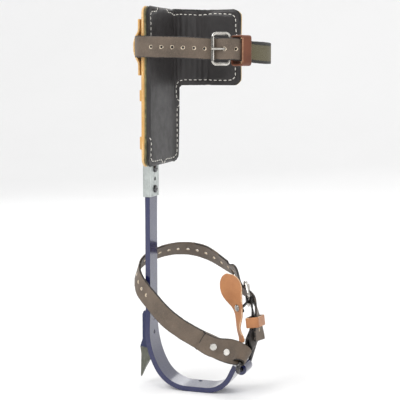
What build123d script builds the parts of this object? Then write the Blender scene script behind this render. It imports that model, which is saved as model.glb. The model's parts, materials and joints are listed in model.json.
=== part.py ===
from build123d import *
from math import cos, radians, sin, tan
import os

os.makedirs("parts", exist_ok=True)

# Driving dimensions, in millimetres. The origin is the centre of the stirrup tread's top face.
# +Z runs up the shank, +X from the shank to the stirrup's outer end, +Y to the far side.
gap = 0.4

shank_face_x = -64.0
shank_thick = 6.2
shank_wide = 26.0
shank_top = 345.0
tread_wide = 34.0
tread_hole_r = 2.5
gaff_screw_r = 2.6
gaff_screw_z = (79, 62)

bend_top = 70
bend_upper_r = 101.8
bend_upper_turn = radians(30)
bend_outer_r = 34
bend_outer_turn = radians(64)
tread_end = 10
eye_x = 54.0
eye_z = 26.0
eye_r = 7.0
eye_wide = 26.0
ring_wire_r = 2.5

sleeve_wall = 2.0
sleeve_bottom = 234.0
sleeve_top = 456.0
sleeve_hole_r = 2.6
hole_pitch = 12.7
first_hole = 243.0
sleeve_hole_count = 16
sleeve_screw_holes = (0, 2)
screw_head_r = 4.6

strap_wide = 25.4
strap_thick = 2.6
lining_thick = 2.2
strap_hole_r = 1.7

buckle_long = 20.0
buckle_across = 35.4
buckle_wire_r = 1.75
roller_r = 2.6
roller_long = 31.4
prong_r = 1.3

pad_face_x = -52.2
face_thick = 3.0
felt_thick = 3.0
back_thick = 3.4
pad_near_y = -47.0
pad_bend_y = 30.0
pad_bend_r = 42.0
pad_end_x = 28.0
pad_bottom = 273.0
arm_bottom = 369.5
pad_top = 466.0

rivet_r = 2.0
rivet_head_r = 4.4
rivet_head = 1.1
loop_wall = 2.8
loop_rivet_z = (358.5, 300.5)
loop_rivet_y = (-27, 27)
tunnel_wall = 2.6
tunnel_rivet_z = (388, 446)
tunnel_rivet_y = (-9, 9)
ankle_overlap_end = 0.13

shank_back_x = shank_face_x - shank_thick
sleeve_in_x = shank_face_x + 0.3
sleeve_out_x = shank_back_x - 0.3
sleeve_half_y = shank_wide / 2 + 0.3
sleeve_face_x = sleeve_in_x + sleeve_wall
sleeve_back_x = sleeve_out_x - sleeve_wall


def strap_plane(path, across, u):
    """Plane square to a strap at the fraction u of its run, local x across it, local y through it."""
    for (u0, w0), (u1, w1) in zip(across, across[1:]):
        if u <= u1:
            break
    share = min(max((u - u0) / (u1 - u0), 0.0), 1.0)
    run = path % u
    wide = Vector(*w0) * (1 - share) + Vector(*w1) * share
    wide = (wide - run * wide.dot(run)).normalized()
    return Plane(origin=path @ u, x_dir=wide, z_dir=run)


def band(path, across, wide, thick, count, start=0.0, stop=1.0):
    """A strap of rectangular section lofted along its path."""
    sections = []
    for i in range(count):
        u = start + (stop - start) * i / (count - 1)
        sections.append(strap_plane(path, across, u) * Rectangle(wide, thick))
    return loft(sections)


def punched(path, across, count, first, buckle):
    """The strap's adjusting holes, counted back from its tail, leaving the buckle clear."""
    holes = []
    for i in range(count):
        u = 0.985 - (i + first) * hole_pitch / path.length
        if (path @ u - buckle.origin).length > 14:
            holes.append(strap_plane(path, across, u) * Rot(90, 0, 0) * Cylinder(strap_hole_r, 8))
    return holes


def cut_apart(pieces, rooms):
    """The lengths of one strap as touching solids, each cut by the same tools."""
    solids = []
    for piece in pieces:
        for room in rooms:
            piece = piece - room
        solids += piece.solids()
    return Compound(children=solids)


def fold(centre, axis, leave, inner_r, thick, wide):
    """Half a turn of strap round a bar. The strap leaves it in the direction leave."""
    base = Plane(origin=centre - axis * (wide / 2), x_dir=leave, z_dir=axis)
    outer = inner_r + thick
    half = Circle(outer) - Circle(inner_r) - Pos(outer / 2, 0) * Rectangle(outer, 2 * outer)
    return extrude(base * half, wide)


def rivet(place, grip):
    """A rivet with two low round heads, its middle at the plane's origin and its axis along local z."""
    body = Cylinder(rivet_r, grip)
    for end in (-1, 1):
        head = Cylinder(rivet_head_r, rivet_head)
        edge = head.edges().group_by(Axis.Z)[-1 if end > 0 else 0]
        head = fillet(edge, rivet_head * 0.7)
        body += Pos(0, 0, end * (grip + rivet_head) / 2) * head
    return place * body


def square_off(direction, axis):
    """The part of a direction that is square to an axis, at unit length."""
    return (direction - axis * direction.dot(axis)).normalized()


def keeper(place, room_across, room_through, wall, long):
    """A leather band round a strap, which runs along local z."""
    outer = RectangleRounded(room_across + 2 * wall, room_through + 2 * wall, wall + 1.2)
    inner = RectangleRounded(room_across, room_through, 1.2)
    return extrude(place * Pos(0, 0, -long / 2) * (outer - inner), long)


def buckle_frame(place):
    """Rectangular wire frame, its bars along local y at each end of local x."""
    path = (place * RectangleRounded(buckle_long, buckle_across, 4.0)).wires()[0]
    start = Plane(origin=path @ 0, z_dir=path % 0)
    return sweep(start * Circle(buckle_wire_r), path=path)


def buckle_roller(place):
    bar = place * Pos(-buckle_long / 2, 0, 0) * Rot(90, 0, 0)
    tube = Cylinder(roller_r, roller_long - 5.0) - Cylinder(buckle_wire_r + 0.06, roller_long)
    return bar * tube


def prong_line():
    """The prong's centre line in the buckle's own frame: from the heel bar over the roller."""
    heel = Vector(buckle_long / 2 - 1.0, 0, 2.9)
    tip = Vector(-buckle_long / 2 - 2.6, 0, roller_r + 0.3 + prong_r)
    return heel, tip


def buckle_prong(place, room=0.0):
    """The prong, or with room added, the space that it needs to pass a strap."""
    heel, tip = prong_line()
    run = (tip - heel).normalized()
    flat = Plane(origin=heel - run * room, z_dir=run)
    shaft = extrude(flat * Circle(prong_r + room), (tip - heel).length + 2 * room)
    collar = Cylinder(3.9, 4.2) - Cylinder(buckle_wire_r + 0.06, 6.0)
    collar = Pos(buckle_long / 2, 0, 0) * Rot(90, 0, 0) * collar
    if room:
        return place * (shaft + Pos(buckle_long / 2, 0, 0) * Rot(90, 0, 0) * Cylinder(4.5, 5.2))
    return place * (shaft - Pos(buckle_long / 2, 0, 0) * Rot(90, 0, 0) * Cylinder(3.0, 5.0) + collar)


# The leg iron: shank, stirrup and rolled eye are one forging.
with BuildPart() as leg_iron:
    with BuildLine(Plane.XZ) as iron_line:
        shank_mid = shank_face_x - shank_thick / 2
        tread_mid = -shank_thick / 2
        knee_x = shank_mid + bend_upper_r * (1 - cos(bend_upper_turn))
        knee_z = bend_top - bend_upper_r * sin(bend_upper_turn)
        lower_r = (knee_z - tread_mid) / (1 - sin(bend_upper_turn))
        tread_start = knee_x + lower_r * cos(bend_upper_turn)
        rise_x = tread_end + bend_outer_r * sin(bend_outer_turn)
        rise_z = tread_mid + bend_outer_r * (1 - cos(bend_outer_turn))
        Line((shank_mid, shank_top), (shank_mid, bend_top))
        TangentArc((shank_mid, bend_top), (knee_x, knee_z), tangent=(0, -1))
        TangentArc(
            (knee_x, knee_z), (tread_start, tread_mid),
            tangent=(sin(bend_upper_turn), -cos(bend_upper_turn)),
        )
        Line((tread_start, tread_mid), (tread_end, tread_mid))
        TangentArc((tread_end, tread_mid), (rise_x, rise_z), tangent=(1, 0))
        Line((rise_x, rise_z), (rise_x + (30 - rise_z) / tan(bend_outer_turn), 30))
    with BuildSketch(Plane(origin=(shank_mid, 0, shank_top), z_dir=(0, 0, -1))):
        Rectangle(shank_thick, tread_wide)
    sweep(path=iron_line.wires()[0])
    # The strip narrows into the shank.
    with BuildSketch(Plane.YZ.offset(-90)):
        for side in (-1, 1):
            with BuildLine():
                Polyline(
                    (side * 20, 50), (side * tread_wide / 2, 50), (side * shank_wide / 2, 92),
                    (side * shank_wide / 2, 400), (side * 20, 400), close=True,
                )
            make_face()
    extrude(amount=50, mode=Mode.SUBTRACT)
    # The eye that the strap ring hangs in.
    with BuildSketch(Plane.XZ.offset(-eye_wide / 2)):
        with Locations((eye_x, eye_z)):
            Circle(eye_r)
    extrude(amount=eye_wide)
    with BuildSketch(Plane.XZ.offset(-tread_wide)):
        with Locations((eye_x, eye_z)):
            Circle(ring_wire_r + gap)
    extrude(amount=2 * tread_wide, mode=Mode.SUBTRACT)
    with Locations((-6, 11.5, 0)):
        Cylinder(tread_hole_r, 30, mode=Mode.SUBTRACT)
    # Holes for the two gaff screws.
    for z in gaff_screw_z:
        with Locations(Location((shank_mid, 0, z), (0, 90, 0))):
            Cylinder(gaff_screw_r, 20, mode=Mode.SUBTRACT)
leg_iron.part.label = "leg_iron"

# The gaff: a plate on the shank's outer face that runs down into a spike.
with BuildPart() as gaff:
    with BuildSketch(Plane.XZ.offset(-shank_wide / 2)):
        with BuildLine():
            Polyline((-66, 90), (-73.6, 90), (-75.4, 86), (-75.4, 54), (-78.9, 44), (-78.6, 34))
            Polyline((-78.6, 34), (-81.6, 3.4), (-80.6, 3.2), (-76.0, 14), (-70.6, 23.9), (-60, 33))
            Line((-60, 33), (-60, 62))
            Line((-60, 62), (-66, 90))
        make_face()
    extrude(amount=shank_wide)
    with BuildSketch(Plane.YZ.offset(-90)):
        with BuildLine():
            Polyline(
                (-11, 92), (11, 92), (11, 48), (8.2, 38), (1.1, 2), (-1.1, 2), (-8.2, 38), (-11, 48),
                close=True,
            )
        make_face()
    extrude(amount=40, mode=Mode.INTERSECT)
    add(leg_iron.part, mode=Mode.SUBTRACT)
    for z in gaff_screw_z:
        with Locations(Location((-70, 0, z), (0, 90, 0))):
            Cylinder(gaff_screw_r, 20, mode=Mode.SUBTRACT)
    for z in gaff_screw_z:
        with Locations(Location((-75.4, 0, z), (0, 90, 0))):
            Cylinder(screw_head_r, 4.4, mode=Mode.SUBTRACT)
# The piece outside the shank is the gaff.
gaff.part = Part() + gaff.part.solids().sort_by(SortBy.VOLUME)[-1]
gaff.part.label = "gaff"

with BuildPart() as gaff_screws:
    for z in gaff_screw_z:
        with Locations(Location((-69.5, 0, z), (0, 90, 0))):
            Cylinder(gaff_screw_r, 10.6)
        with Locations(Location((-74.6, 0, z), (0, 90, 0))):
            Cylinder(screw_head_r - 0.1, 2.6)
        with Locations(Location((-75.9, 0, z), (0, 90, 0))):
            Cylinder(1.6, 3.0, mode=Mode.SUBTRACT)
gaff_screws.part.label = "gaff_screws"

# The sleeve: a formed rectangular tube with a row of holes in its leg-side wall.
with BuildPart() as sleeve:
    with BuildSketch(Plane.XY.offset(sleeve_bottom)):
        with Locations(((sleeve_face_x + sleeve_back_x) / 2, 0)):
            RectangleRounded(sleeve_face_x - sleeve_back_x, 2 * (sleeve_half_y + sleeve_wall), 2.2)
        with Locations(((sleeve_in_x + sleeve_out_x) / 2, 0)):
            Rectangle(sleeve_in_x - sleeve_out_x, 2 * sleeve_half_y, mode=Mode.SUBTRACT)
    extrude(amount=sleeve_top - sleeve_bottom)
    for i in range(sleeve_hole_count):
        spot = (sleeve_face_x - sleeve_wall / 2, 0, first_hole + i * hole_pitch)
        with Locations(Location(spot, (0, 90, 0))):
            Cylinder(sleeve_hole_r, sleeve_wall + 1, mode=Mode.SUBTRACT)
    for z in tunnel_rivet_z:
        for y in tunnel_rivet_y:
            with Locations(Location((sleeve_back_x, y, z), (0, 90, 0))):
                Cylinder(rivet_r, 2 * sleeve_wall + 1, mode=Mode.SUBTRACT)
sleeve.part.label = "sleeve"

# Two clamp screws, with an open hole between them.
with BuildPart() as sleeve_screws:
    for i in sleeve_screw_holes:
        z = first_hole + i * hole_pitch
        with Locations(Location((shank_face_x + 0.1, 0, z), (0, 90, 0))):
            Cylinder(sleeve_hole_r, sleeve_wall + 0.4, align=(Align.CENTER, Align.CENTER, Align.MIN))
        with Locations(Location((sleeve_face_x, 0, z), (0, 90, 0))):
            Cylinder(screw_head_r, 2.2, align=(Align.CENTER, Align.CENTER, Align.MIN))
    outer_rims = edges().filter_by(GeomType.CIRCLE).group_by(Axis.X)[-1]
    fillet(outer_rims, 1.2)
    for i in sleeve_screw_holes:
        with Locations((sleeve_face_x + 2.2, 0, first_hole + i * hole_pitch)):
            Box(1.6, 7.2, 1.2, mode=Mode.SUBTRACT)
sleeve_screws.part.label = "sleeve_screws"


def pad_layer(depth, thick):
    """One layer of the pad: a tall panel on the sleeve and an arm that wraps round the calf's far side."""
    x_in = pad_face_x - depth
    x_out = x_in - thick
    r_in = pad_bend_r + depth
    r_out = r_in + thick
    bend_x = pad_face_x + pad_bend_r
    with BuildPart() as layer:
        for low, angle in ((pad_bottom, 30), (arm_bottom, 90)):
            with BuildSketch(Plane.XY.offset(low)):
                with BuildLine():
                    inner = CenterArc((bend_x, pad_bend_y), r_in, 180, -angle)
                    outer = CenterArc((bend_x, pad_bend_y), r_out, 180, -angle)
                    Line(inner @ 0, (x_in, pad_near_y))
                    Line((x_in, pad_near_y), (x_out, pad_near_y))
                    Line((x_out, pad_near_y), outer @ 0)
                    if angle == 90:
                        Line(inner @ 1, (pad_end_x, pad_bend_y + r_in))
                        Line((pad_end_x, pad_bend_y + r_in), (pad_end_x, pad_bend_y + r_out))
                        Line((pad_end_x, pad_bend_y + r_out), outer @ 1)
                    else:
                        Line(inner @ 1, outer @ 1)
                make_face()
            extrude(amount=pad_top - low)
        short = layer.edges().filter_by(lambda e: abs(e.length - thick) < 0.01)
        inside = short.filter_by(lambda e: abs(e.center().Z - arm_bottom) < 0.1 and e.center().X < 0)
        fillet(inside, 5)
        short = layer.edges().filter_by(lambda e: abs(e.length - thick) < 0.01)
        fillet(short.filter_by(lambda e: e.geom_type == GeomType.LINE), 11)
    return layer.part


back_x = pad_face_x - face_thick - felt_thick - back_thick

with BuildPart() as pad_face:
    add(pad_layer(0, face_thick))
pad_face.part.label = "pad_face"

with BuildPart() as pad_felt:
    add(pad_layer(face_thick, felt_thick))
pad_felt.part.label = "pad_felt"

with BuildPart() as pad_back:
    add(pad_layer(face_thick + felt_thick, back_thick))
    for z in loop_rivet_z:
        for y in loop_rivet_y:
            with Locations(Location((back_x, y, z), (0, 90, 0))):
                Cylinder(rivet_r, 2.4, mode=Mode.SUBTRACT)
pad_back.part.label = "pad_back"


def sleeve_loop(low, high):
    """A leather loop that holds the pad to the sleeve."""
    wall = loop_wall
    side = sleeve_half_y + sleeve_wall
    out_x = sleeve_back_x - 0.1
    with BuildPart() as loop:
        with BuildSketch(Plane.XY.offset(low)):
            with BuildLine():
                Polyline(
                    (back_x, -34), (back_x, -side - 0.1), (out_x, -side - 0.1), (out_x, side + 0.1),
                    (back_x, side + 0.1), (back_x, 34), (back_x - wall, 34),
                    (back_x - wall, side + wall), (out_x - wall, side + wall),
                    (out_x - wall, -side - wall), (back_x - wall, -side - wall),
                    (back_x - wall, -34), close=True,
                )
            make_face()
        extrude(amount=high - low)
        fillet(edges().filter_by(Axis.Z).group_by(Axis.X)[0], 2.4)
        for y in loop_rivet_y:
            with Locations(Location((back_x, y, (low + high) / 2), (0, 90, 0))):
                Cylinder(rivet_r, 8, mode=Mode.SUBTRACT)
    return loop.part


with BuildPart() as pad_loop_upper:
    add(sleeve_loop(351.5, 365.5))
pad_loop_upper.part.label = "pad_loop_upper"

with BuildPart() as pad_loop_lower:
    add(sleeve_loop(292.5, 308.5))
pad_loop_lower.part.label = "pad_loop_lower"

with BuildPart() as pad_loop_rivets:
    for z in loop_rivet_z:
        for y in loop_rivet_y:
            with Locations(Location((back_x + 1.2, y, z), (0, -90, 0))):
                Cylinder(rivet_r, 4.0, align=(Align.CENTER, Align.CENTER, Align.MIN))
            with Locations(Location((back_x - loop_wall, y, z), (0, -90, 0))):
                Cylinder(rivet_head_r, rivet_head, align=(Align.CENTER, Align.CENTER, Align.MIN))
pad_loop_rivets.part.label = "pad_loop_rivets"

# The tunnel that the calf strap runs through, behind the sleeve.
with BuildPart() as strap_tunnel:
    with BuildLine(Plane.XZ) as tunnel_line:
        low_x = sleeve_back_x - tunnel_wall / 2
        high_x = sleeve_back_x - strap_thick - 1.3 - tunnel_wall / 2
        Line((low_x, 383), (low_x, 394))
        Spline((low_x, 394), (high_x, 405), (high_x, 430), (low_x, 441), tangents=((0, 1), (0, 1)))
        Line((low_x, 441), (low_x, 451))
    with BuildSketch(Plane(origin=(low_x, 0, 383), z_dir=(0, 0, 1))):
        Rectangle(tunnel_wall, 44)
    sweep(path=tunnel_line.wires()[0])
    for z in tunnel_rivet_z:
        for y in tunnel_rivet_y:
            with Locations(Location((sleeve_back_x, y, z), (0, 90, 0))):
                Cylinder(rivet_r, 8, mode=Mode.SUBTRACT)
strap_tunnel.part.label = "strap_tunnel"

with BuildPart() as tunnel_rivets:
    for z in tunnel_rivet_z:
        for y in tunnel_rivet_y:
            with Locations(Location((sleeve_back_x + sleeve_wall, y, z), (0, -90, 0))):
                Cylinder(rivet_r, sleeve_wall + tunnel_wall, align=(Align.CENTER, Align.CENTER, Align.MIN))
            with Locations(Location((sleeve_back_x - tunnel_wall, y, z), (0, -90, 0))):
                Cylinder(rivet_head_r, rivet_head, align=(Align.CENTER, Align.CENTER, Align.MIN))
tunnel_rivets.part.label = "tunnel_rivets"

# The calf buckle. Its local x runs along the strap towards the tail, local z away from the leg.
calf_place = Plane(origin=(34.5, -35.5, 414.5), x_dir=(0.866, 0.5, 0), z_dir=(0.5, -0.866, 0))
calf_roller_at = calf_place.from_local_coords((-buckle_long / 2, 0, 0))
calf_heel_at = calf_place.from_local_coords((buckle_long / 2, 0, 0))

# The calf strap: through the tunnel, round the near side, under the roller and over the heel bar.
tunnel_x = sleeve_back_x - 0.6 - strap_thick / 2
calf_path = Spline(
    (-68.8, 48, 417.5), (tunnel_x + 0.5, 26, 417.5), (tunnel_x, 0, 417.5), (tunnel_x + 0.3, -22, 417.5),
    (-70.5, -40, 417.5), (-60, -53, 417.5), (-45, -57.6, 417), (-22, -55, 416.5), (4, -47, 415.5),
    calf_place.from_local_coords((-buckle_long / 2, 0, -roller_r - 0.8 - strap_thick / 2)),
    calf_place.from_local_coords((6.6, 0, 5.0)),
    calf_place.from_local_coords((11.5, 0, 6.4)),
    (59.0, -25.5, 413), (64.0, -13.0, 412),
)
calf_across = [(0.0, (0, 0, 1)), (1.0, (0, 0, 1))]
calf_room = buckle_prong(calf_place, 0.6)
calf_run = band(calf_path, calf_across, strap_wide, strap_thick, 34)
calf_holes = punched(calf_path, calf_across, 10, 0.6, calf_place)
# Two rivets join the lined half to the calf strap beside the sleeve.
join_rivets = []
for u in (0.035, 0.085):
    spot = strap_plane(calf_path, calf_across, u)
    inward = spot.y_dir if spot.y_dir.X > 0 else spot.y_dir * -1
    middle = spot.origin + inward * 1.2
    join_rivets.append(rivet(Plane(origin=middle, z_dir=inward), strap_thick + lining_thick + 0.3))
with BuildPart() as calf_join_rivets:
    for body in join_rivets:
        add(body)
calf_join_rivets.part.label = "calf_join_rivets"

with BuildPart() as calf_strap:
    add(calf_run)
    for room in [calf_room] + calf_holes + join_rivets:
        add(room, mode=Mode.SUBTRACT)
calf_strap.part.label = "calf_strap"

# The lined half of the calf strap: folded round the heel bar, out round the far side to the sleeve.
bar_fold_r = buckle_wire_r + 0.25
calf_bar_axis = calf_place.y_dir
calf_leave = square_off(Vector(0.62, 0.78, 0), calf_bar_axis)
calf_fold_out = calf_bar_axis.cross(calf_leave) * -1
if calf_fold_out.dot(calf_place.z_dir) < 0:
    calf_fold_out = calf_fold_out * -1
layer_off = bar_fold_r + lining_thick / 2
lining_start = calf_heel_at + calf_fold_out * layer_off
lining_path = Spline(
    lining_start, lining_start + calf_leave * 6 - calf_fold_out * 0.6, (62, -6.5, 411.5), (69, 14, 410),
    (72.5, 36, 409.5), (69.5, 57, 410), (59, 76, 411.5), (38, 90.5, 413), (8, 95, 414.5),
    (-22, 91, 416), (-45, 78.5, 417), (-58.4, 60.5, 417.5), (-65.2, 43, 417.5), (-69.0, 27, 417.5),
    tangents=(calf_leave, (-0.05, -1, 0)),
)
return_start = calf_heel_at - calf_fold_out * layer_off
return_path = Spline(
    return_start, return_start + calf_leave * 7 + calf_fold_out * 0.8 - Vector(0, 0, 0.5),
    return_start + calf_leave * 22 + calf_fold_out * 3.0 - Vector(0, 0, 1.8),
    tangents=(calf_leave, (calf_leave * 1.0 + calf_fold_out * 0.05).normalized()),
)
lining_pieces = [
    band(lining_path, calf_across, strap_wide, lining_thick, 30),
    fold(calf_heel_at, calf_bar_axis, calf_leave, bar_fold_r, lining_thick, strap_wide),
    band(return_path, calf_across, strap_wide, lining_thick, 6),
]
with BuildPart() as calf_lining:
    for piece in lining_pieces:
        add(piece)
    for room in [calf_room] + join_rivets:
        add(room, mode=Mode.SUBTRACT)
calf_lining.part.label = "calf_lining"

calf_buckle_body = buckle_frame(calf_place)
with BuildPart() as calf_buckle:
    add(calf_buckle_body)
calf_buckle.part.label = "calf_buckle"

calf_roller_body = buckle_roller(calf_place)
with BuildPart() as calf_roller:
    add(calf_roller_body)
calf_roller.part.label = "calf_roller"

calf_prong_body = buckle_prong(calf_place)
with BuildPart() as calf_prong:
    add(calf_prong_body)
calf_prong.part.label = "calf_prong"

calf_keeper_place = Plane(origin=(55.2, -21.7, 412.6), x_dir=(0, 0, 1), z_dir=(0.55, 0.83, 0))
calf_keeper_body = keeper(calf_keeper_place, 31.0, 17.0, 2.6, 14.0)
with BuildPart() as calf_keeper:
    add(calf_keeper_body)
calf_keeper.part.label = "calf_keeper"

# The strap ring, a wire triangle that hangs in the stirrup's eye.
ring_lean = Vector(0.275, 0, 0.961)
ring_place = Plane(origin=(eye_x, 0, eye_z), x_dir=(0, 1, 0), z_dir=Vector(0, 1, 0).cross(ring_lean))
ring_near = (-36.0, 9.5)
ring_far = (26.4, 38.6)
with BuildPart() as strap_ring:
    with BuildSketch(ring_place) as ring_shape:
        with BuildLine():
            Polyline((-26, 0), (24, 0), ring_far, ring_near, close=True)
        make_face()
        fillet(vertices(), 4.0)
    ring_path = ring_shape.sketch.wires()[0].edges()
    for edge in ring_path:
        with BuildSketch(Plane(origin=edge @ 0, z_dir=edge % 0)):
            Circle(ring_wire_r)
        sweep(path=edge)
strap_ring.part.label = "strap_ring"

bar_near = ring_place.from_local_coords((*ring_near, 0))
bar_far = ring_place.from_local_coords((*ring_far, 0))
bar_axis = (bar_far - bar_near).normalized()
fold_near = bar_near + bar_axis * 21.0
fold_far = bar_near + bar_axis * 49.2
ring_fold_r = ring_wire_r + 0.3

# The ankle buckle. Its local x runs down along the strap, local z away from the leg.
ankle_down = Vector(0.35, -0.45, -0.82).normalized()
ankle_out = square_off(Vector(0.906, 0.3825, 0.181), ankle_down)
ankle_place = Plane(origin=(52.0, 20.0, 113.5), x_dir=ankle_down, z_dir=ankle_out)
ankle_heel_at = ankle_place.from_local_coords((buckle_long / 2, 0, 0))

# The ankle strap: from the ring along the near side, round behind the shank, back to the buckle.
near_leave = square_off(Vector(-0.72, -0.606, 0.339), bar_axis)
near_out = bar_axis.cross(near_leave)
near_off = ring_fold_r + strap_thick / 2
ankle_start = fold_near - near_out * near_off
ankle_path = Spline(
    ankle_start, (45, -24.5, 47.5), (28, -35.5, 57), (1, -45.5, 72.5), (-30, -44.5, 90.5),
    (-57, -31, 109.5), (-78.5, -13, 125.5), (-86, 6, 142.5), (-74, 31, 155.5), (-43, 54, 161),
    (-12, 56.5, 156), (15, 48.5, 144),
    ankle_place.from_local_coords((-buckle_long / 2 - 12, 0, -6.2)),
    ankle_place.from_local_coords((-buckle_long / 2, 0, -roller_r - 1.8 - strap_thick / 2)),
    ankle_place.from_local_coords((6.4, 0, 5.6)),
    ankle_place.from_local_coords((11.5, 0, 7.0)),
    (66.0, 14.6, 93), (68.0, 13.2, 80), (69.8, 11.6, 66), (70.5, 10.8, 58),
    tangents=(near_leave, (0.1, -0.1, -1)),
)
wide_near = (0.583, -0.08, 0.806)
wide_far = (0.377, -0.611, 0.696)
wide_buckle = tuple(ankle_place.y_dir * -1)
ankle_across = [
    (0.0, tuple(bar_axis)), (0.05, (0.25, 0.45, 0.75)), (0.14, wide_near), (0.36, (0.55, -0.25, 0.8)),
    (0.45, wide_far), (0.66, wide_far), (0.76, wide_buckle), (0.895, wide_buckle),
    (0.985, tuple(bar_axis * -1)), (1.0, tuple(bar_axis * -1)),
]
return_out = fold_near + near_out * near_off
overlap_path = Spline(
    return_out, return_out + near_leave * 8 - near_out * 2.2,
    ankle_path @ 0.085 + strap_plane(ankle_path, ankle_across, 0.085).y_dir * -(strap_thick + 0.1),
    ankle_path @ ankle_overlap_end
    - strap_plane(ankle_path, ankle_across, ankle_overlap_end).y_dir * (strap_thick + 0.1),
    tangents=(near_leave, ankle_path % ankle_overlap_end),
)
overlap_across = [(0.0, tuple(bar_axis)), (0.35, (0.25, 0.45, 0.75)), (1.0, wide_near)]
ankle_room = buckle_prong(ankle_place, 0.6)
ankle_pieces = []
for start, stop in ((0.0, 0.2), (0.2, 0.4), (0.4, 0.58), (0.58, 0.76), (0.76, 1.0)):
    ankle_pieces.append(band(ankle_path, ankle_across, strap_wide, strap_thick, 12, start, stop))
ankle_pieces.append(fold(fold_near, bar_axis, near_leave, ring_fold_r, strap_thick, strap_wide))
ankle_pieces.append(band(overlap_path, overlap_across, strap_wide, strap_thick, 8))
ankle_holes = punched(ankle_path, ankle_across, 24, 0.5, ankle_place)

# Two rivets hold the strap's fold.
rivet_bodies = []
for u in (0.052, 0.092):
    spot = strap_plane(ankle_path, ankle_across, u)
    lift = overlap_path @ (u / ankle_overlap_end) - spot.origin
    through = -lift.dot(spot.y_dir)
    centre = spot.origin - spot.y_dir * (through / 2)
    place = Plane(origin=centre, x_dir=spot.x_dir, z_dir=spot.y_dir)
    rivet_bodies.append(rivet(place, through + strap_thick))
with BuildPart() as ankle_strap_rivets:
    for body in rivet_bodies:
        add(body)
ankle_strap_rivets.part.label = "ankle_strap_rivets"

# The strap's lengths stay separate solids that touch.
with BuildPart() as ankle_strap:
    add(ankle_pieces[0])
ankle_strap.part = cut_apart(ankle_pieces, [ankle_room, ankle_strap_rivets.part] + ankle_holes)
ankle_strap.part.label = "ankle_strap"

# The short buckle strap: folded round the ring's bar below and the buckle's heel bar above.
column = fold_far - ankle_heel_at
heel_axis = ankle_place.y_dir
heel_leave = square_off(column.normalized(), heel_axis)
heel_out = square_off(ankle_out, heel_axis)
heel_out = square_off(heel_out, heel_leave)
ring_leave = square_off(column.normalized() * -1, bar_axis)
ring_out = bar_axis.cross(ring_leave)
if ring_out.X < 0:
    ring_out = ring_out * -1
heel_off = bar_fold_r + lining_thick / 2
ring_off = ring_fold_r + lining_thick / 2
outer_top = ankle_heel_at + heel_out * heel_off
outer_low = fold_far + ring_out * ring_off
outer_path = Spline(
    outer_top, outer_top + heel_leave * 2.5, (outer_top + outer_low) * 0.5 + heel_out * 0.2,
    outer_low + ring_leave * 2.5, outer_low,
    tangents=(heel_leave, ring_leave * -1),
)
column_across = [
    (0.0, tuple(heel_axis * -1)), (0.1, tuple(heel_axis * -1)), (0.9, tuple(bar_axis * -1)),
    (1.0, tuple(bar_axis * -1)),
]
inner_top = ankle_heel_at - heel_out * heel_off
# The tan leaf that keeps the buckle off the leg, riveted to a tongue of the buckle strap.
leaf_path = Spline(
    (32.5, 11.5, 139), (33.2, 9.5, 127), (37.2, 7.5, 115), (45, 4.5, 97.5), (47.2, 1.5, 84),
    (48.6, -1.5, 68), (50, -3.5, 56),
)
leaf_across = [
    (0.0, (0.97, -0.1, 0.1)), (0.3, (0.95, -0.2, 0.15)), (0.5, (0.7, -0.6, 0.38)), (1.0, (0.55, -0.75, 0.3)),
]
leaf_widths = (
    (0, 9), (0.03, 18), (0.08, 25), (0.15, 29), (0.25, 29.5), (0.36, 25), (0.5, 20), (0.66, 14.5),
    (0.84, 9.5), (1, 4.5),
)
leaf_sections = []
for u, wide in leaf_widths:
    leaf_sections.append(strap_plane(leaf_path, leaf_across, u) * Rectangle(wide, lining_thick))
leaf = loft(leaf_sections)
leaf_place = strap_plane(leaf_path, leaf_across, 0.5)
tongue_gap = 1.1
leaf_rivet_at = leaf_place.origin
leaf_back = leaf_place.y_dir
if leaf_back.Y < 0:
    leaf_back = leaf_back * -1
tongue_at = leaf_rivet_at + leaf_back * (lining_thick + tongue_gap)
leaf_down = leaf_path % 0.5
tab_path = Spline(inner_top, tongue_at, tongue_at + leaf_down * 7, tangents=(heel_leave, leaf_down))
tab_across = [
    (0.0, tuple(heel_axis * -1)), (0.6, tuple(leaf_place.x_dir)), (1.0, tuple(leaf_place.x_dir)),
]
tab_widths = ((0, 22), (0.2, 20), (0.4, 18), (0.6, 16), (0.8, 13), (1, 11))
tab_sections = []
for u, wide in tab_widths:
    tab_sections.append(strap_plane(tab_path, tab_across, u) * Rectangle(wide, lining_thick))
tab = loft(tab_sections)
leaf_rivet = rivet(
    Plane(
        origin=leaf_rivet_at + leaf_back * (lining_thick + tongue_gap) / 2, x_dir=leaf_place.x_dir,
        z_dir=leaf_back,
    ),
    2 * lining_thick + tongue_gap,
)
inner_low = fold_far - ring_out * ring_off
hem_path = Spline(
    inner_low, inner_low + ring_leave * 6 + ring_out * 1.2,
    inner_low + ring_leave * 14 + ring_out * 3.0,
    tangents=(ring_leave, ring_leave),
)
hem_across = [(0.0, tuple(bar_axis * -1)), (1.0, tuple((bar_axis * -0.7 - heel_axis * 0.3).normalized()))]
column_pieces = [
    band(outer_path, column_across, strap_wide, lining_thick, 21, stop=0.9994),
    fold(ankle_heel_at, heel_axis, heel_leave, bar_fold_r, lining_thick, strap_wide),
    fold(fold_far, bar_axis, ring_leave, ring_fold_r, lining_thick, strap_wide),
    tab,
    band(hem_path, hem_across, strap_wide, lining_thick, 6, start=0.003),
]
ankle_buckle_body = buckle_frame(ankle_place)
# The keeper that holds the ankle strap's tail down.
keeper_spot = strap_plane(ankle_path, ankle_across, 0.948)
ankle_keeper_place = Plane(
    origin=keeper_spot.origin + keeper_spot.y_dir * 3.1, x_dir=keeper_spot.x_dir,
    z_dir=keeper_spot.z_dir,
)
ankle_keeper_body = keeper(ankle_keeper_place, 32.0, 12.6, 2.0, 13.0)
with BuildPart() as ankle_keeper:
    add(ankle_keeper_body)
ankle_keeper.part.label = "ankle_keeper"

with BuildPart() as ankle_buckle:
    add(ankle_buckle_body)
ankle_buckle.part.label = "ankle_buckle"

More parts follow.
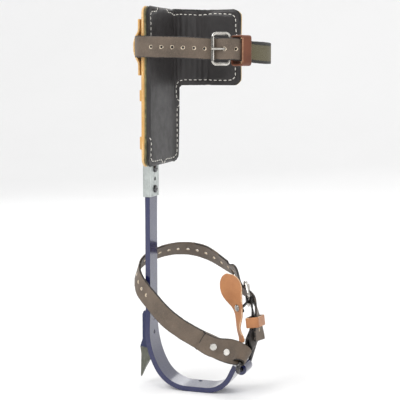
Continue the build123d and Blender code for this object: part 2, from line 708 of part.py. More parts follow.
ankle_roller_body = buckle_roller(ankle_place)
with BuildPart() as ankle_roller:
    add(ankle_roller_body)
ankle_roller.part.label = "ankle_roller"

ankle_prong_body = buckle_prong(ankle_place)
with BuildPart() as ankle_prong:
    add(ankle_prong_body)
ankle_prong.part.label = "ankle_prong"

with BuildPart() as chafe_rivet:
    add(leaf_rivet)
chafe_rivet.part.label = "chafe_rivet"

# Its lengths also stay separate solids that touch.
with BuildPart() as ankle_buckle_strap:
    add(column_pieces[0])
ankle_buckle_strap.part = cut_apart(column_pieces, [ankle_room, leaf_rivet, ankle_buckle_body])
ankle_buckle_strap.part.label = "ankle_buckle_strap"

with BuildPart() as ankle_chafe:
    add(leaf)
    add(leaf_rivet, mode=Mode.SUBTRACT)
ankle_chafe.part.label = "ankle_chafe"

for item in (
    leg_iron, gaff, gaff_screws, sleeve, sleeve_screws, pad_face, pad_felt, pad_back, pad_loop_upper,
    pad_loop_lower, pad_loop_rivets, strap_tunnel, tunnel_rivets, calf_strap, calf_lining, calf_buckle,
    calf_roller, calf_prong, calf_keeper, strap_ring, ankle_strap, ankle_buckle_strap, ankle_buckle,
    ankle_roller, ankle_prong, ankle_chafe, ankle_keeper, ankle_strap_rivets, chafe_rivet,
    calf_join_rivets,
):
    export_step(item.part, f"parts/{item.part.label}.step")
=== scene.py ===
import json
import math

import bpy
import numpy as np
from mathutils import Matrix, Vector, kdtree, noise
from mathutils.bvhtree import BVHTree

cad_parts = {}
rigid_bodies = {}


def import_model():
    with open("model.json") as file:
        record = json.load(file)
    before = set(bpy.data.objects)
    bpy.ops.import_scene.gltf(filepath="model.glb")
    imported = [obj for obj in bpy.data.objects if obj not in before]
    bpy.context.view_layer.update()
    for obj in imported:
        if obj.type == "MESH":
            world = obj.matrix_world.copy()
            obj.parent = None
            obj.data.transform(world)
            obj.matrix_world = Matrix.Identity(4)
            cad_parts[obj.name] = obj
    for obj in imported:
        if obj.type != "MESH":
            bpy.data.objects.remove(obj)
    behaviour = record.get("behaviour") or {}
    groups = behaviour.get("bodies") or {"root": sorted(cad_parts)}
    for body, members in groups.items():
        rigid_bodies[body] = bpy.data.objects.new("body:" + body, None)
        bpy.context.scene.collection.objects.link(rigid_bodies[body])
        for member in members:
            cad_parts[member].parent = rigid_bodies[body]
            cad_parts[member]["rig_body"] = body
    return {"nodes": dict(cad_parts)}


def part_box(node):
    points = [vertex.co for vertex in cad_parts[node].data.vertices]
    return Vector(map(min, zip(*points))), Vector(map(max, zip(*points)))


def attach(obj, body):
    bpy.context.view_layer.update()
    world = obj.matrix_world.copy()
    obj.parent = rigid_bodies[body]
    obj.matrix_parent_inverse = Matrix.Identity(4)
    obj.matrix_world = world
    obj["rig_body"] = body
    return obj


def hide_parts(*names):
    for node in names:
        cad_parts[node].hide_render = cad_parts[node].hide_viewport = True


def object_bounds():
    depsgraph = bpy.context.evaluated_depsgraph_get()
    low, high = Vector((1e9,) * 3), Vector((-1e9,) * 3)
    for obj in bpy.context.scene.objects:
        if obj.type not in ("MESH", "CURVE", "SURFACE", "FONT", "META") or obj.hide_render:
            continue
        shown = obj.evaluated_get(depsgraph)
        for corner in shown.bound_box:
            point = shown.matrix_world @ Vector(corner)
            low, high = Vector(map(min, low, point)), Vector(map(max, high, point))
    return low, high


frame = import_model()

MM = 0.001
cad_low, cad_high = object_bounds()
nodes = frame["nodes"]
scene = bpy.context.scene
scene.view_settings.view_transform = "Standard"


# ---------------------------------------------------------------- materials

def new_material(name):
    """A node material, with its tree and its Principled shader."""
    made = bpy.data.materials.new(name)
    made.use_nodes = True
    return made, made.node_tree, made.node_tree.nodes["Principled BSDF"]


def add_node(tree, kind, values=None, **settings):
    made = tree.nodes.new(kind)
    for key, value in settings.items():
        setattr(made, key, value)
    for key, value in (values or {}).items():
        made.inputs[key].default_value = value
    return made


def plug(tree, source, target):
    tree.links.new(source, target)


def coordinates(tree, stretch=(1, 1, 1)):
    """The piece's own coordinates in metres, stretched along each axis."""
    spot = add_node(tree, "ShaderNodeTexCoord")
    scaled = add_node(tree, "ShaderNodeMapping", {"Scale": stretch})
    plug(tree, spot.outputs["Object"], scaled.inputs["Vector"])
    return scaled.outputs["Vector"]


def noise_field(tree, where, scale, detail=3.0, rough=0.6):
    made = add_node(tree, "ShaderNodeTexNoise", {"Scale": scale, "Detail": detail, "Roughness": rough})
    plug(tree, where, made.inputs["Vector"])
    return made.outputs["Fac"]


def cell_field(tree, where, scale, feature="F1"):
    made = add_node(tree, "ShaderNodeTexVoronoi", {"Scale": scale}, feature=feature)
    plug(tree, where, made.inputs["Vector"])
    return made.outputs["Distance"]


def remap(tree, value, low, high, to_low=0.0, to_high=1.0):
    made = add_node(tree, "ShaderNodeMapRange", {"From Min": low, "From Max": high,
                                                "To Min": to_low, "To Max": to_high})
    plug(tree, value, made.inputs["Value"])
    return made.outputs["Result"]


def mix(tree, factor, first, second):
    """Blends two colours; each is a socket or a tuple of three numbers."""
    made = add_node(tree, "ShaderNodeMix", data_type="RGBA")
    plug(tree, factor, made.inputs["Factor"])
    for socket, colour in ((made.inputs[6], first), (made.inputs[7], second)):
        if isinstance(colour, tuple):
            socket.default_value = (*colour, 1.0)
        else:
            plug(tree, colour, socket)
    return made.outputs[2]


def math_node(tree, operation, first, second):
    made = add_node(tree, "ShaderNodeMath", operation=operation)
    for socket, value in ((made.inputs[0], first), (made.inputs[1], second)):
        if isinstance(value, (int, float)):
            socket.default_value = value
        else:
            plug(tree, value, socket)
    return made.outputs[0]


def surface_value(tree, name):
    """A number stored on each point of the mesh, in millimetres."""
    made = add_node(tree, "ShaderNodeAttribute", attribute_name=name, attribute_type="GEOMETRY")
    return made.outputs["Fac"]


def raise_surface(tree, shader, height, depth, strength=1.0):
    bump = add_node(tree, "ShaderNodeBump", {"Strength": strength, "Distance": depth})
    plug(tree, height, bump.inputs["Height"])
    plug(tree, bump.outputs["Normal"], shader.inputs["Normal"])


def leather(name, base, dark, raw, rough=(0.45, 0.62), edge=None, edge_wide=0.8, grain=0.00012,
            speckle=0.35, sheen=0.05, holes=True):
    """Strap leather: mottled face, fine pebbled grain, coloured cut edge and pale raw hole rims."""
    made, tree, shader = new_material(name)
    where = coordinates(tree)
    cloudy = remap(tree, noise_field(tree, where, 38.0, 5.0), 0.35, 0.68)
    colour = mix(tree, cloudy, base, dark)
    specks = remap(tree, noise_field(tree, where, 1150.0, 2.0, 0.7), 0.52, 0.72, 0.0, speckle)
    lighter = tuple(min(1.0, c * 1.9 + 0.03) for c in base)
    colour = mix(tree, specks, colour, lighter)
    if edge is not None:
        ragged = math_node(tree, "MULTIPLY", noise_field(tree, where, 420.0, 2.0), 0.9)
        reach = math_node(tree, "ADD", surface_value(tree, "rim"), ragged)
        at_edge = remap(tree, reach, edge_wide + 0.15, edge_wide + 0.7, 1.0, 0.0)
        colour = mix(tree, at_edge, colour, edge)
    if holes:
        ragged = math_node(tree, "MULTIPLY", noise_field(tree, where, 600.0, 2.0), 0.8)
        reach = math_node(tree, "ADD", surface_value(tree, "hole"), ragged)
        at_hole = remap(tree, reach, 0.45, 0.8, 1.0, 0.0)
        colour = mix(tree, at_hole, colour, raw)
    plug(tree, colour, shader.inputs["Base Color"])
    plug(tree, remap(tree, noise_field(tree, where, 90.0, 4.0), 0.3, 0.7, *rough),
         shader.inputs["Roughness"])
    pores = cell_field(tree, where, 1400.0)
    creases = noise_field(tree, where, 260.0, 6.0, 0.65)
    height = math_node(tree, "ADD", math_node(tree, "MULTIPLY", pores, 0.6), creases)
    raise_surface(tree, shader, height, grain, 0.9)
    shader.inputs["Sheen Weight"].default_value = sheen
    shader.inputs["Specular IOR Level"].default_value = 0.42
    return made


def webbing(name, light, dark, edge):
    """Coarse woven lining: crossing yarns, with a dark bound edge."""
    made, tree, shader = new_material(name)
    along = surface_value(tree, "along")
    up = add_node(tree, "ShaderNodeSeparateXYZ")
    plug(tree, coordinates(tree, (1000, 1000, 1000)), up.inputs["Vector"])
    rows = math_node(tree, "SINE", math_node(tree, "MULTIPLY", up.outputs["Z"], 2 * math.pi / 2.1), 0)
    warp = math_node(tree, "SINE", math_node(tree, "MULTIPLY", along, 2 * math.pi / 2.6), 0)
    woven = math_node(tree, "MULTIPLY", rows, warp)
    ribs = remap(tree, woven, -0.7, 0.7)
    fuzz = noise_field(tree, coordinates(tree), 900.0, 3.0)
    colour = mix(tree, ribs, dark, light)
    colour = mix(tree, remap(tree, fuzz, 0.4, 0.7, 0.0, 0.5), colour, dark)
    at_edge = remap(tree, surface_value(tree, "rim"), 2.6, 3.4, 1.0, 0.0)
    colour = mix(tree, at_edge, colour, edge)
    plug(tree, colour, shader.inputs["Base Color"])
    plug(tree, remap(tree, fuzz, 0.3, 0.7, 0.75, 0.95), shader.inputs["Roughness"])
    height = math_node(tree, "ADD", ribs, math_node(tree, "MULTIPLY", fuzz, 0.5))
    raise_surface(tree, shader, height, 0.0005, 0.8)
    shader.inputs["Sheen Weight"].default_value = 0.15
    return made


def felt(name, light, dark):
    """Pressed wool felt: short random fibres, no weave."""
    made, tree, shader = new_material(name)
    where = coordinates(tree)
    fibres = noise_field(tree, where, 1300.0, 6.0, 0.75)
    clumps = noise_field(tree, where, 160.0, 3.0)
    colour = mix(tree, remap(tree, clumps, 0.35, 0.65), light, dark)
    colour = mix(tree, remap(tree, fibres, 0.45, 0.75, 0.0, 0.6), colour, dark)
    plug(tree, colour, shader.inputs["Base Color"])
    plug(tree, remap(tree, fibres, 0.3, 0.7, 0.85, 1.0), shader.inputs["Roughness"])
    raise_surface(tree, shader, fibres, 0.0005, 0.9)
    shader.inputs["Sheen Weight"].default_value = 0.3
    return made


def metal(name, colour, worn, rough=(0.12, 0.3), scratch=(60.0, 60.0, 900.0), depth=0.00003, pits=0.0):
    """Plated or bare steel: cloudy plating, fine directional scratches, duller spots, and painted shade: an
    ambient-occlusion node darkens the colour in recesses and where parts touch.
    """
    made, tree, shader = new_material(name)
    where = coordinates(tree)
    cloudy = remap(tree, noise_field(tree, where, 120.0, 5.0), 0.35, 0.7)
    lines = noise_field(tree, coordinates(tree, scratch), 1.0, 4.0, 0.7)
    # painted shade: ambient occlusion within 4 mm darkens the base colour in recesses and at contacts with other
    # parts
    shade = add_node(tree, "ShaderNodeAmbientOcclusion", {"Distance": 0.004}, samples=8)
    plug(tree, mix(tree, cloudy, colour, worn), shade.inputs["Color"])
    plug(tree, shade.outputs["Color"], shader.inputs["Base Color"])
    spread = math_node(tree, "MULTIPLY", cloudy, 0.5)
    spread = math_node(tree, "ADD", spread, math_node(tree, "MULTIPLY", lines, 0.5))
    plug(tree, remap(tree, spread, 0.25, 0.75, *rough), shader.inputs["Roughness"])
    shader.inputs["Metallic"].default_value = 1.0
    height = lines
    if pits:
        height = math_node(tree, "ADD", lines, math_node(tree, "MULTIPLY",
                           noise_field(tree, where, 700.0, 4.0), pits))
    raise_surface(tree, shader, height, depth, 0.8)
    return made


def enamel(name, colour, deep, chip):
    """Dipped gloss enamel on forged steel: soft orange peel, dust and rubbed edges."""
    made, tree, shader = new_material(name)
    where = coordinates(tree)
    cloudy = remap(tree, noise_field(tree, where, 55.0, 4.0), 0.3, 0.7)
    paint = mix(tree, cloudy, colour, deep)
    rounded = add_node(tree, "ShaderNodeBevel", {"Radius": 0.0009}, samples=4)
    flat = add_node(tree, "ShaderNodeNewGeometry")
    turned = add_node(tree, "ShaderNodeVectorMath", operation="DOT_PRODUCT")
    plug(tree, rounded.outputs["Normal"], turned.inputs[0])
    plug(tree, flat.outputs["True Normal"], turned.inputs[1])
    at_edge = remap(tree, turned.outputs["Value"], 0.9, 0.99, 1.0, 0.0)
    rubbed = remap(tree, noise_field(tree, where, 95.0, 5.0, 0.7), 0.56, 0.66, 0.0, 0.55)
    wear = math_node(tree, "MULTIPLY", at_edge, rubbed)
    plug(tree, mix(tree, wear, paint, chip), shader.inputs["Base Color"])
    dull = noise_field(tree, where, 210.0, 5.0)
    plug(tree, remap(tree, dull, 0.35, 0.75, 0.18, 0.27), shader.inputs["Roughness"])
    shader.inputs["Coat Weight"].default_value = 0.6
    shader.inputs["Coat Roughness"].default_value = 0.12
    peel = noise_field(tree, where, 330.0, 2.0)
    bump = add_node(tree, "ShaderNodeBump", {"Strength": 0.35, "Distance": 0.0001})
    plug(tree, peel, bump.inputs["Height"])
    plug(tree, rounded.outputs["Normal"], bump.inputs["Normal"])
    plug(tree, bump.outputs["Normal"], shader.inputs["Normal"])
    return made


def gaff_finish(name, paint, steel, paint_line=0.046, blend=0.002):
    """Enamelled spike, ground bare below its shoulder with a ragged paint line (heights in metres)."""
    made, tree, shader = new_material(name)
    where = coordinates(tree)
    up = add_node(tree, "ShaderNodeSeparateXYZ")
    plug(tree, where, up.inputs["Vector"])
    ragged = math_node(tree, "MULTIPLY", noise_field(tree, where, 160.0, 4.0), 0.008)
    height = math_node(tree, "ADD", up.outputs["Z"], ragged)
    bare = remap(tree, height, paint_line, paint_line + blend, 1.0, 0.0)
    lines = noise_field(tree, coordinates(tree, (900.0, 900.0, 60.0)), 1.0, 4.0, 0.7)
    ground = mix(tree, remap(tree, lines, 0.35, 0.7), steel, tuple(c * 0.55 for c in steel))
    plug(tree, mix(tree, bare, paint, ground), shader.inputs["Base Color"])
    plug(tree, remap(tree, bare, 0, 1, 0.0, 0.85), shader.inputs["Metallic"])
    plug(tree, remap(tree, bare, 0, 1, 0.2, 0.42), shader.inputs["Roughness"])
    raise_surface(tree, shader, lines, 0.00005, 0.7)
    return made


def thread(name, colour, shade):
    """Waxed sewing thread: a slanting twist on each stitch."""
    made, tree, shader = new_material(name)
    where = coordinates(tree)
    twist = noise_field(tree, where, 2600.0, 2.0)
    plug(tree, mix(tree, remap(tree, twist, 0.4, 0.65), colour, shade), shader.inputs["Base Color"])
    plug(tree, remap(tree, twist, 0.3, 0.7, 0.5, 0.75), shader.inputs["Roughness"])
    raise_surface(tree, shader, twist, 0.0002, 0.8)
    return made


BROWN = (0.135, 0.1, 0.072)
brown_leather = leather("brown_strap_leather", BROWN, (0.08, 0.06, 0.044), (0.7, 0.6, 0.46),
                        edge=(0.012, 0.01, 0.009), edge_wide=0.5)
dark_leather = leather("dark_strap_leather", (0.035, 0.026, 0.02), (0.018, 0.014, 0.012),
                       (0.3, 0.22, 0.14), edge=(0.008, 0.007, 0.006), edge_wide=0.5, rough=(0.35, 0.55), speckle=0.15)
black_leather = leather("pad_face_leather", (0.034, 0.031, 0.031), (0.022, 0.020, 0.020),
                        (0.1, 0.1, 0.1), rough=(0.34, 0.5), edge=(0.010, 0.010, 0.010), edge_wide=1.0, grain=0.00007,
                        speckle=0.06, sheen=0.0, holes=False)
tan_leather = leather("tan_back_leather", (0.62, 0.36, 0.115), (0.5, 0.27, 0.08), (0.75, 0.6, 0.36),
                      edge=(0.72, 0.5, 0.24), edge_wide=0.2, speckle=0.12, holes=False)
leaf_leather = leather("leaf_leather", (0.45, 0.195, 0.075), (0.33, 0.13, 0.05), (0.7, 0.5, 0.3),
                       edge=(0.74, 0.55, 0.36), edge_wide=0.25, speckle=0.12, rough=(0.4, 0.58), holes=False)
red_leather = leather("keeper_leather", (0.19, 0.062, 0.028), (0.12, 0.04, 0.02), (0.6, 0.4, 0.25),
                      edge=(0.62, 0.36, 0.2), edge_wide=0.15, speckle=0.1, rough=(0.3, 0.5), holes=False)
lining = webbing("woven_lining", (0.2, 0.17, 0.075), (0.045, 0.038, 0.02), (0.012, 0.011, 0.009))
olive_felt = felt("olive_felt", (0.2, 0.18, 0.08), (0.08, 0.075, 0.035))
nickel = metal("nickel_plate", (0.66, 0.64, 0.6), (0.42, 0.4, 0.36), rough=(0.1, 0.26))
satin = metal("satin_zinc", (0.62, 0.66, 0.64), (0.45, 0.48, 0.47), rough=(0.3, 0.5),
              scratch=(900.0, 900.0, 30.0), depth=0.00006, pits=0.4)
screw_steel = metal("dark_screw_steel", (0.2, 0.2, 0.21), (0.1, 0.1, 0.1), rough=(0.25, 0.5), pits=0.3)
ring_steel = metal("black_ring_steel", (0.045, 0.045, 0.05), (0.16, 0.15, 0.14), rough=(0.2, 0.4), pits=0.3)
navy_enamel = enamel("navy_enamel", (0.011, 0.015, 0.078), (0.009, 0.012, 0.062), (0.16, 0.17, 0.2))
gaff_metal = gaff_finish("gaff_enamel_and_steel", (0.01, 0.016, 0.07), (0.17, 0.175, 0.145))
white_thread = thread("white_thread", (0.86, 0.84, 0.78), (0.55, 0.52, 0.46))


# ---------------------------------------------------------------- mesh tools

def dress(name, finish):
    """Gives a CAD node a better material."""
    slots = nodes[name].data.materials
    slots.clear()
    slots.append(finish)


def baked(source, modifiers, name):
    """A new mesh object from source's mesh with modifiers applied."""
    made = bpy.data.objects.new(name, source.data.copy())
    scene.collection.objects.link(made)
    for kind, settings in modifiers:
        added = made.modifiers.new(kind, kind)
        for key, value in settings.items():
            setattr(added, key, value)
    solved = made.evaluated_get(bpy.context.evaluated_depsgraph_get())
    result = bpy.data.meshes.new_from_object(solved)
    made.modifiers.clear()
    made.data = result
    made.data.materials.clear()
    return made


def points_of(obj):
    flat = np.zeros(len(obj.data.vertices) * 3)
    obj.data.vertices.foreach_get("co", flat)
    return flat.reshape(-1, 3)


def normals_of(obj):
    flat = np.zeros(len(obj.data.vertices) * 3)
    obj.data.vertices.foreach_get("normal", flat)
    return flat.reshape(-1, 3)


def put_points(obj, where):
    obj.data.vertices.foreach_set("co", where.ravel())
    obj.data.update()


def edges_of(obj):
    flat = np.zeros(len(obj.data.edges) * 2, dtype=int)
    obj.data.edges.foreach_get("vertices", flat)
    return flat.reshape(-1, 2)


def spread(values, edges, rounds):
    """Averages each point's values with its neighbours'."""
    out = values.copy()
    for _ in range(rounds):
        total = out.copy()
        count = np.ones(len(out))
        for a, b in ((0, 1), (1, 0)):
            np.add.at(total, edges[:, a], out[edges[:, b]])
            np.add.at(count, edges[:, a], 1)
        out = total / count[:, None]
    return out


def store(obj, name, values):
    made = obj.data.attributes.get(name) or obj.data.attributes.new(name, "FLOAT", "POINT")
    made.data.foreach_set("value", np.asarray(values, dtype=np.float32))


def clusters(members, edges, total):
    """Groups marked points that are joined by edges."""
    parent = np.arange(total)

    def top(i):
        while parent[i] != i:
            parent[i] = parent[parent[i]]
            i = parent[i]
        return i

    for a, b in edges[members[edges[:, 0]] & members[edges[:, 1]]]:
        parent[top(a)] = top(b)
    groups = {}
    for i in np.nonzero(members)[0]:
        groups.setdefault(top(i), []).append(i)
    return list(groups.values())


def distances(where, targets, far=50.0):
    """Distance in millimetres from each point to the nearest target point."""
    if not len(targets):
        return np.full(len(where), far)
    tree = kdtree.KDTree(len(targets))
    for i, spot in enumerate(targets):
        tree.insert(spot, i)
    tree.balance()
    return np.array([tree.find(spot)[2] for spot in where]) / MM


def mark_edges(obj, turn=0.93, hole_size=0.0085):
    """Stores how far each point is from a cut edge (rim) and from a punched hole (hole)."""
    where, edges = points_of(obj), edges_of(obj)
    level = np.linalg.norm(spread(normals_of(obj), edges, 2), axis=1)
    sharp = level < turn
    rims, holes = [], []
    for group in clusters(sharp, edges, len(where)):
        spot = where[group]
        size = np.ptp(spot, axis=0).max()
        spans = np.linalg.svd(spot - spot.mean(axis=0), compute_uv=False)
        if size < hole_size:
            if size > 0.0022 and spans[1] > 0.7 * spans[0]:
                holes.extend(group)
        else:
            rims.extend(group)
    store(obj, "rim", distances(where, where[rims]))
    store(obj, "hole", distances(where, where[holes]))
    return obj


def ripple(obj, amount, size, seed):
    """Moves the surface in and out by a smooth noise, as hand-worked leather varies."""
    where, normals = points_of(obj), normals_of(obj)
    offset = Vector((seed * 3.1, seed * 1.7, seed * 0.9))
    shift = np.array([noise.noise(Vector(p) / size + offset) for p in where])
    put_points(obj, where + normals * (shift * amount)[:, None])


def soft_copy(node, finish, voxel=0.75, rounds=4, amount=0.00012, size=0.012, seed=1, name=None):
    """A dense, rounded copy of a leather CAD node, with its cut edges and holes marked."""
    made = baked(nodes[node], [
        ("REMESH", {"mode": "VOXEL", "voxel_size": voxel * MM, "use_smooth_shade": True}),
        ("SMOOTH", {"factor": 0.5, "iterations": rounds}),
    ], name or node + "_leather")
    ripple(made, amount, size, seed)
    mark_edges(made)
    made.data.materials.append(finish)
    made.data.polygons.foreach_set("use_smooth", [True] * len(made.data.polygons))
    body = nodes[node]["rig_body"]
    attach(made, body)
    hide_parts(node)
    return made


def contour(obj, values, level, allowed):
    """The lines on the surface where values pass level, as lists of points."""
    where = points_of(obj)
    obj.data.calc_loop_triangles()
    links = {}
    spots = {}
    for tri in obj.data.loop_triangles:
        ids = tri.vertices
        if not all(allowed[i] for i in ids):
            continue
        cut = []
        for a, b in ((ids[0], ids[1]), (ids[1], ids[2]), (ids[2], ids[0])):
            if (values[a] < level) != (values[b] < level):
                key = (min(a, b), max(a, b))
                part = (level - values[a]) / (values[b] - values[a])
                spots[key] = where[a] + (where[b] - where[a]) * part
                cut.append(key)
        if len(cut) == 2:
            links.setdefault(cut[0], []).append(cut[1])
            links.setdefault(cut[1], []).append(cut[0])
    lines, seen = [], set()
    starts = [k for k in links if len(links[k]) == 1] + list(links)
    for start in starts:
        if start in seen:
            continue
        line, here = [start], start
        seen.add(start)
        while True:
            onward = [k for k in links[here] if k not in seen]
            if not onward:
                break
            here = onward[0]
            seen.add(here)
            line.append(here)
        lines.append(np.array([spots[k] for k in line]))
    return lines


def evened(line, pitch):
    """The same line with points a pitch apart."""
    steps = np.linalg.norm(np.diff(line, axis=0), axis=1)
    run = np.concatenate([[0], np.cumsum(steps)])
    count = max(2, int(round(run[-1] / pitch)))
    marks = np.linspace(0, run[-1], count + 1)
    return np.stack([np.interp(marks, run, line[:, k]) for k in range(3)], axis=1)


def stitch_mesh(name, lines, surface, long, thick, body, finish):
    """Sewn stitches: short rounded threads that dip into the surface at both ends."""
    tree = BVHTree.FromObject(surface, bpy.context.evaluated_depsgraph_get())
    sides, rings = 8, 7
    verts, faces = [], []
    for line in lines:
        for a, b in zip(line[:-1], line[1:]):
            middle = Vector((a + b) / 2)
            spot, normal, _, _ = tree.find_nearest(middle)
            along = Vector(b - a).normalized()
            along = (along - normal * along.dot(normal)).normalized()
            side = normal.cross(along)
            first = len(verts)
            for i in range(rings):
                u = -1 + 2 * i / (rings - 1)
                radius = thick / 2 * math.sqrt(max(0.06, 1 - abs(u) ** 3.5))
                lift = thick * 0.22 - thick * 0.75 * u ** 4
                centre = spot + along * (u * long / 2) + normal * lift
                for k in range(sides):
                    turn = 2 * math.pi * k / sides
                    round_out = side * math.cos(turn) + normal * math.sin(turn)
                    verts.append(centre + round_out * radius)
            for i in range(rings - 1):
                for k in range(sides):
                    n = (k + 1) % sides
                    p = first + i * sides
                    faces.append((p + k, p + n, p + sides + n, p + sides + k))
            faces.append(tuple(first + k for k in reversed(range(sides))))
            faces.append(tuple(first + (rings - 1) * sides + k for k in range(sides)))
    mesh = bpy.data.meshes.new(name)
    mesh.from_pydata([tuple(v) for v in verts], [], faces)
    mesh.polygons.foreach_set("use_smooth", [True] * len(mesh.polygons))
    mesh.materials.append(finish)
    made = bpy.data.objects.new(name, mesh)
    scene.collection.objects.link(made)
    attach(made, body)


# ---------------------------------------------------------------- metal parts

for name in ("calf_buckle", "calf_roller", "calf_prong", "ankle_buckle", "ankle_roller", "ankle_prong",
             "pad_loop_rivets", "tunnel_rivets", "calf_join_rivets", "ankle_strap_rivets", "chafe_rivet"):
    dress(name, nickel)
dress("leg_iron", navy_enamel)
dress("gaff", gaff_metal)
dress("gaff_screws", screw_steel)
dress("sleeve", satin)
dress("sleeve_screws", screw_steel)
dress("strap_ring", ring_steel)


# ---------------------------------------------------------------- straps and loops

soft_copy("calf_strap", brown_leather, seed=1)
soft_copy("ankle_strap", brown_leather, seed=2)
soft_copy("ankle_buckle_strap", dark_leather, seed=3)
calf_lining = soft_copy("calf_lining", lining, seed=4, name="calf_lining_webbing")
soft_copy("calf_keeper", red_leather, voxel=0.6, rounds=14, seed=5)
soft_copy("ankle_keeper", leaf_leather, voxel=0.6, rounds=10, seed=6)
soft_copy("ankle_chafe", leaf_leather, voxel=0.6, amount=0.0004, size=0.02, seed=7)
soft_copy("strap_tunnel", tan_leather, seed=8)
soft_copy("pad_loop_upper", tan_leather, voxel=0.7, seed=9)
soft_copy("pad_loop_lower", tan_leather, voxel=0.7, seed=10)


def wind_along(obj):
    """Stores how far round the calf's loop each point is, in millimetres."""
    where = points_of(obj)
    low, high = where.min(axis=0), where.max(axis=0)
    middle = (low + high) / 2
    flat = where[:, :2] - middle[:2]
    angle = np.arctan2(flat[:, 1], flat[:, 0])
    bins = 360
    turned = (angle + math.pi) / (2 * math.pi) * bins
    place = turned.astype(int) % bins
    reach = np.linalg.norm(flat, axis=1)
    total = np.bincount(place, reach, bins)
    count = np.bincount(place, minlength=bins)
    mean = np.where(count > 0, total / np.maximum(count, 1), reach.mean())
    steps = mean * 2 * math.pi / bins
    run = np.concatenate([[0], np.cumsum(steps)])
    store(obj, "along", np.interp(turned, np.arange(bins + 1), run) / MM)


wind_along(calf_lining)


# ---------------------------------------------------------------- padded trough

SIM_FRAMES = 20
SWELL = 1.3 * MM
SEAM_IN = 6.2
STITCH_PITCH = 6.5 * MM
STITCH_LONG = 4.6 * MM
STITCH_THICK = 1.15 * MM


def simulated(node, name, voxel):
    """The node's shape blown up slightly by a cloth simulation, with the swelling capped."""
    made = baked(nodes[node], [
        ("REMESH", {"mode": "VOXEL", "voxel_size": voxel * MM, "use_smooth_shade": True}),
        ("SMOOTH", {"factor": 0.5, "iterations": 2}),
    ], name)
    rest = points_of(made)
    cloth = made.modifiers.new("cloth", "CLOTH")
    cloth.settings.quality = 4
    cloth.settings.use_pressure = True
    cloth.settings.uniform_pressure_force = 4.0
    cloth.settings.tension_stiffness = 25.0
    cloth.settings.compression_stiffness = 25.0
    cloth.settings.effector_weights.gravity = 0.0
    cloth.point_cache.frame_start = 1
    cloth.point_cache.frame_end = SIM_FRAMES
    for step in range(1, SIM_FRAMES + 1):
        scene.frame_set(step)
    solved = made.evaluated_get(bpy.context.evaluated_depsgraph_get())
    moved = np.zeros(len(rest) * 3)
    solved.data.vertices.foreach_get("co", moved)
    shift = moved.reshape(-1, 3) - rest
    size = np.linalg.norm(shift, axis=1)
    shift *= np.minimum(1.0, SWELL / np.maximum(size, 1e-9))[:, None]
    made.modifiers.clear()
    scene.frame_set(1)
    put_points(made, rest + shift)
    return made


def pad_piece(node, name, finish, voxel):
    raw = simulated(node, name + "_raw", voxel)
    made = baked(raw, [("SUBSURF", {"levels": 1, "render_levels": 1})], name)
    bpy.data.objects.remove(raw)
    made.data.materials.append(finish)
    made.data.polygons.foreach_set("use_smooth", [True] * len(made.data.polygons))
    mark_edges(made, turn=0.965)
    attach(made, "upper")
    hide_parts(node)
    return made


pad_face = pad_piece("pad_face", "pad_face_cushion", black_leather, 1.7)
pad_piece("pad_felt", "pad_felt_layer", olive_felt, 1.9)
pad_piece("pad_back", "pad_back_leather", tan_leather, 1.9)


def values_of(obj, name):
    stored = obj.data.attributes[name].data
    out = np.zeros(len(stored))
    stored.foreach_get("value", out)
    return out


def facing_leg(obj, reach=0.4, to_near_side=0.012):
    """Which points of the trough face its inside: their normals turn towards the leg's middle."""
    low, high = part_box("pad_face")
    middle = np.array([high.x, (low.y + high.y) / 2 - to_near_side, 0])
    where, normals = points_of(obj), normals_of(obj)
    inward = middle[None, :] - where
    inward[:, 2] = 0
    inward /= np.linalg.norm(inward, axis=1)[:, None]
    return (normals * inward).sum(axis=1) > reach


def sew(obj):
    """Presses a groove along the seam and sets the stitches in it."""
    rim = values_of(obj, "rim")
    inside = facing_leg(obj)
    lines = contour(obj, rim, SEAM_IN, inside)
    lines = [line for line in lines if len(line) > 60]
    seam = np.concatenate(lines)
    where, normals = points_of(obj), normals_of(obj)
    gap = distances(where, seam)
    press = np.clip(1 - (gap / 2.6) ** 2, 0, 1) ** 2 * 0.55 * MM
    press = np.where(inside, press, 0)
    put_points(obj, where - normals * press[:, None])
    evenly = [evened(line, STITCH_PITCH) for line in lines]
    stitch_mesh("pad_stitches", evenly, obj, STITCH_LONG, STITCH_THICK, "upper", white_thread)


sew(pad_face)


# ---------------------------------------------------------------- floor, light and camera

def floor_material():
    made, tree, shader = new_material("pale_floor")
    where = coordinates(tree)
    plug(tree, mix(tree, noise_field(tree, where, 3.0), (0.9, 0.9, 0.9), (0.93, 0.93, 0.93)),
         shader.inputs["Base Color"])
    shader.inputs["Roughness"].default_value = 0.95
    shader.inputs["Specular IOR Level"].default_value = 0.05
    return made


def make_floor():
    """A level sheet that curves up into a wall behind the object, so that no horizon is seen."""
    half, near, flat_end, bend, top = 6.0, -6.0, 1.8, 1.6, 5.0
    low = cad_low.z - 0.0004
    steps = 24
    line = [(near, low)]
    for i in range(steps + 1):
        turn = math.pi / 2 * i / steps
        line.append((flat_end + bend * math.sin(turn), low + bend * (1 - math.cos(turn))))
    line.append((flat_end + bend, top))
    verts = [(side * half, y, z) for y, z in line for side in (-1, 1)]
    faces = [(2 * i, 2 * i + 1, 2 * i + 3, 2 * i + 2) for i in range(len(line) - 1)]
    mesh = bpy.data.meshes.new("floor")
    mesh.from_pydata(verts, [], faces)
    mesh.polygons.foreach_set("use_smooth", [True] * len(mesh.polygons))
    mesh.materials.append(floor_material())
    made = bpy.data.objects.new("floor", mesh)
    scene.collection.objects.link(made)


def area_light(name, where, target, size, power):
    light = bpy.data.lights.new(name, "AREA")
    light.size = size
    light.energy = power
    made = bpy.data.objects.new(name, light)
    made.location = where
    made.rotation_euler = (Vector(target) - Vector(where)).to_track_quat("-Z", "Y").to_euler()
    scene.collection.objects.link(made)


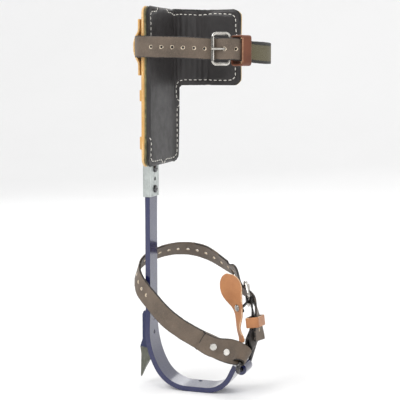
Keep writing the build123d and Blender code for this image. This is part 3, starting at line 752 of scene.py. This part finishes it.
def make_world():
    world = bpy.data.worlds.new("studio")
    world.use_nodes = True
    tree = world.node_tree
    sky = tree.nodes["Background"]
    sky.inputs["Color"].default_value = (1.0, 1.0, 1.0, 1.0)
    sky.inputs["Strength"].default_value = 0.9
    dim = add_node(tree, "ShaderNodeBackground", {"Strength": 1.0})
    spot = add_node(tree, "ShaderNodeTexCoord")
    split = add_node(tree, "ShaderNodeSeparateXYZ")
    plug(tree, spot.outputs["Generated"], split.inputs["Vector"])
    ramp = add_node(tree, "ShaderNodeValToRGB")
    ramp.color_ramp.elements[0].position = 0.42
    ramp.color_ramp.elements[0].color = (0.5, 0.5, 0.5, 1)
    ramp.color_ramp.elements[1].position = 0.9
    ramp.color_ramp.elements[1].color = (0.95, 0.95, 0.95, 1)
    dark = ramp.color_ramp.elements.new(0.55)
    dark.color = (0.10, 0.10, 0.105, 1)
    level = math_node(tree, "MULTIPLY_ADD", split.outputs["Z"], 0.5)
    level.node.inputs[2].default_value = 0.5
    plug(tree, level, ramp.inputs["Fac"])
    plug(tree, ramp.outputs["Color"], dim.inputs["Color"])
    path = add_node(tree, "ShaderNodeLightPath")
    choose = add_node(tree, "ShaderNodeMixShader")
    plug(tree, path.outputs["Is Glossy Ray"], choose.inputs["Fac"])
    plug(tree, sky.outputs["Background"], choose.inputs[1])
    plug(tree, dim.outputs["Background"], choose.inputs[2])
    plug(tree, choose.outputs["Shader"], tree.nodes["World Output"].inputs["Surface"])
    scene.world = world


CAMERA_TURN = math.radians(18.2)
CAMERA_DOWN = math.radians(6.7)
CAMERA_REACH = 1.404
CAMERA_HIGH = 0.396
CAMERA_LEFT = 0.003
CAMERA_LENS = 103.6


def make_camera():
    """The photograph's view: turned round from the near side and looking slightly down."""
    data = bpy.data.cameras.new("camera")
    data.sensor_width = 36.0
    data.lens = CAMERA_LENS
    data.clip_end = 40.0
    made = bpy.data.objects.new("camera", data)
    across = CAMERA_REACH * math.sin(CAMERA_TURN) - CAMERA_LEFT
    made.location = (across, -CAMERA_REACH * math.cos(CAMERA_TURN), CAMERA_HIGH)
    made.rotation_euler = (math.pi / 2 - CAMERA_DOWN, 0, CAMERA_TURN)
    scene.collection.objects.link(made)
    scene.camera = made


make_floor()
make_world()
area_light("key", (-0.9, -1.5, 1.5), (0, 0, 0.25), 1.2, 22)
area_light("fill", (1.6, -0.9, 0.7), (0, 0, 0.2), 1.2, 6)
area_light("back", (-0.4, 1.6, 1.2), (0, 0, 0.25), 1.2, 8)
make_camera()
